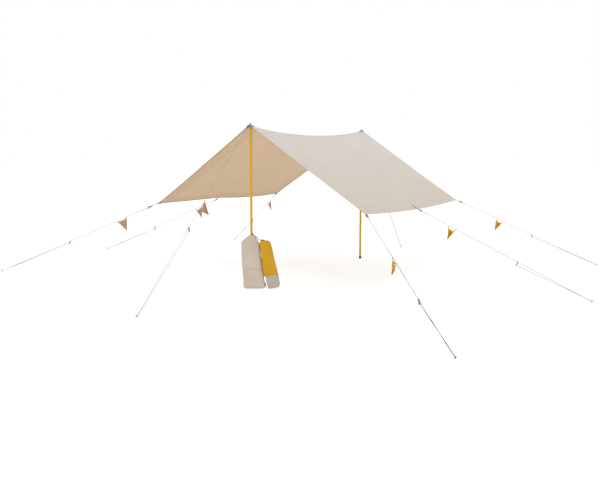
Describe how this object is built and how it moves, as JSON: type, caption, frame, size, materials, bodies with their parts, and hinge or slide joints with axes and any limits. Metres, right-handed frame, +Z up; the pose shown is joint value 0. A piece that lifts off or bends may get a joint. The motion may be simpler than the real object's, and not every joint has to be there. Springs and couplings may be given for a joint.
{
  "type": "camping tarp",
  "caption": "Pitched canvas ridge tarp on two upright poles, stretched by guy lines with wooden runners, hanging pennants and ground pegs, with its storage bags.",
  "frame": {"origin": "centre of the front pole's foot, on the ground", "axes": "+X to the right of the front opening, +Y along the ridge to the rear pole, +Z up"},
  "size_m": [8.3444, 6.7804, 2.116],
  "materials": {
    "canvas": "matt cotton canvas, greige outside and tan inside",
    "webbing": "flat woven webbing",
    "cord": "braided cotton cord",
    "runner": "oiled wood",
    "pennant": "cotton, yellow on one face and tan on the other",
    "pole": "satin powder coat",
    "pole_foot": "matt",
    "pole_tip": "zinc plated",
    "peg": "zinc plated",
    "bag_canvas": "matt cotton canvas",
    "pole_bag": "matt cotton canvas",
    "toggle": "moulded"
  },
  "bodies": {
    "shelter": {"front_pole": "pole", "front_pole_foot": "pole_foot", "front_pole_tip": "pole_tip", "rear_pole": "pole", "rear_pole_foot": "pole_foot", "rear_pole_tip": "pole_tip", "roof_panel_left": "canvas", "roof_panel_right": "canvas", "ridge_seam": "canvas", "tarp_bag": "bag_canvas", "tarp_bag_toggle": "toggle", "pole_bag_base": "bag_canvas", "pole_bag_body": "pole_bag", "pole_bag_toggle": "toggle", "guy_front_left": "cord", "strap_front_left": "webbing", "peg_front_left": "peg", "guy_left_middle": "cord", "strap_left_middle": "webbing", "peg_left_middle": "peg", "guy_rear_left": "cord", "strap_rear_left": "webbing", "peg_rear_left": "peg", "guy_front_right": "cord", "strap_front_right": "webbing", "peg_front_right": "peg", "guy_right_middle": "cord", "strap_right_middle": "webbing", "peg_right_middle": "peg", "guy_rear_right": "cord", "strap_rear_right": "webbing", "peg_rear_right": "peg", "guy_front_peak": "cord", "strap_front_peak": "webbing", "peg_front_peak": "peg", "guy_rear_peak": "cord", "strap_rear_peak": "webbing", "peg_rear_peak": "peg"},
    "runner_front_left": {"runner_front_left": "runner"},
    "pennant_front_left": {"pennant_front_left": "pennant"},
    "runner_left_middle": {"runner_left_middle": "runner"},
    "pennant_left_middle": {"pennant_left_middle": "pennant"},
    "runner_rear_left": {"runner_rear_left": "runner"},
    "pennant_rear_left": {"pennant_rear_left": "pennant"},
    "runner_front_right": {"runner_front_right": "runner"},
    "pennant_front_right": {"pennant_front_right": "pennant"},
    "runner_right_middle": {"runner_right_middle": "runner"},
    "pennant_right_middle": {"pennant_right_middle": "pennant"},
    "runner_rear_right": {"runner_rear_right": "runner"},
    "pennant_rear_right": {"pennant_rear_right": "pennant"},
    "runner_front_peak": {"runner_front_peak": "runner"},
    "pennant_front_peak": {"pennant_front_peak": "pennant"},
    "runner_rear_peak": {"runner_rear_peak": "runner"},
    "pennant_rear_peak": {"pennant_rear_peak": "pennant"}
  },
  "joints": [
    {"name": "runner_front_left_slide", "type": "slide", "parent": "shelter", "child": "runner_front_left", "axis": [-0.8367, -0.384, -0.3904], "range_m": [0, 0.15]},
    {"name": "pennant_front_left_swing", "type": "hinge", "parent": "shelter", "child": "pennant_front_left", "pos_m": [-2.11796, -0.2009, 0.80205], "axis": [-0.8367, -0.384, -0.3904], "range_deg": [-85, 85]},
    {"name": "runner_left_middle_slide", "type": "slide", "parent": "shelter", "child": "runner_left_middle", "axis": [-0.9337, 0.0331, -0.3565], "range_m": [0, 0.15]},
    {"name": "pennant_left_middle_swing", "type": "hinge", "parent": "shelter", "child": "pennant_left_middle", "pos_m": [-2.16408, 1.54193, 0.8499], "axis": [-0.9337, 0.0331, -0.3565], "range_deg": [-85, 85]},
    {"name": "runner_rear_left_slide", "type": "slide", "parent": "shelter", "child": "runner_rear_left", "axis": [-0.7688, 0.4197, -0.4824], "range_m": [0, 0.15]},
    {"name": "pennant_rear_left_swing", "type": "hinge", "parent": "shelter", "child": "pennant_rear_left", "pos_m": [-1.90088, 3.17382, 0.86154], "axis": [-0.7688, 0.4197, -0.4824], "range_deg": [-85, 85]},
    {"name": "runner_front_right_slide", "type": "slide", "parent": "shelter", "child": "runner_front_right", "axis": [0.6495, -0.6676, -0.3639], "range_m": [0, 0.15]},
    {"name": "pennant_front_right_swing", "type": "hinge", "parent": "shelter", "child": "pennant_front_right", "pos_m": [2.35092, -0.71166, 0.62685], "axis": [0.6495, -0.6676, -0.3639], "range_deg": [-85, 85]},
    {"name": "runner_right_middle_slide", "type": "slide", "parent": "shelter", "child": "runner_right_middle", "axis": [0.9173, -0.1002, -0.3854], "range_m": [0, 0.15]},
    {"name": "pennant_right_middle_swing", "type": "hinge", "parent": "shelter", "child": "pennant_right_middle", "pos_m": [2.16601, 1.4694, 0.77174], "axis": [0.9173, -0.1002, -0.3854], "range_deg": [-85, 85]},
    {"name": "runner_rear_right_slide", "type": "slide", "parent": "shelter", "child": "runner_rear_right", "axis": [0.7571, 0.5035, -0.4163], "range_m": [0, 0.15]},
    {"name": "pennant_rear_right_swing", "type": "hinge", "parent": "shelter", "child": "pennant_rear_right", "pos_m": [2.19975, 3.40353, 0.71737], "axis": [0.7571, 0.5035, -0.4163], "range_deg": [-85, 85]},
    {"name": "runner_front_peak_slide", "type": "slide", "parent": "shelter", "child": "runner_front_peak", "axis": [0.0048, -0.7065, -0.7077], "range_m": [0, 0.15]},
    {"name": "pennant_front_peak_swing", "type": "hinge", "parent": "shelter", "child": "pennant_front_peak", "pos_m": [0.00649, -0.99486, 1.13196], "axis": [0.0048, -0.7065, -0.7077], "range_deg": [-85, 85]},
    {"name": "runner_rear_peak_slide", "type": "slide", "parent": "shelter", "child": "runner_rear_peak", "axis": [0.0124, 0.5955, -0.8032], "range_m": [0, 0.15]},
    {"name": "pennant_rear_peak_swing", "type": "hinge", "parent": "shelter", "child": "pennant_rear_peak", "pos_m": [0.01425, 3.76886, 1.17068], "axis": [0.0124, 0.5955, -0.8032], "range_deg": [-85, 85]}
  ]
}
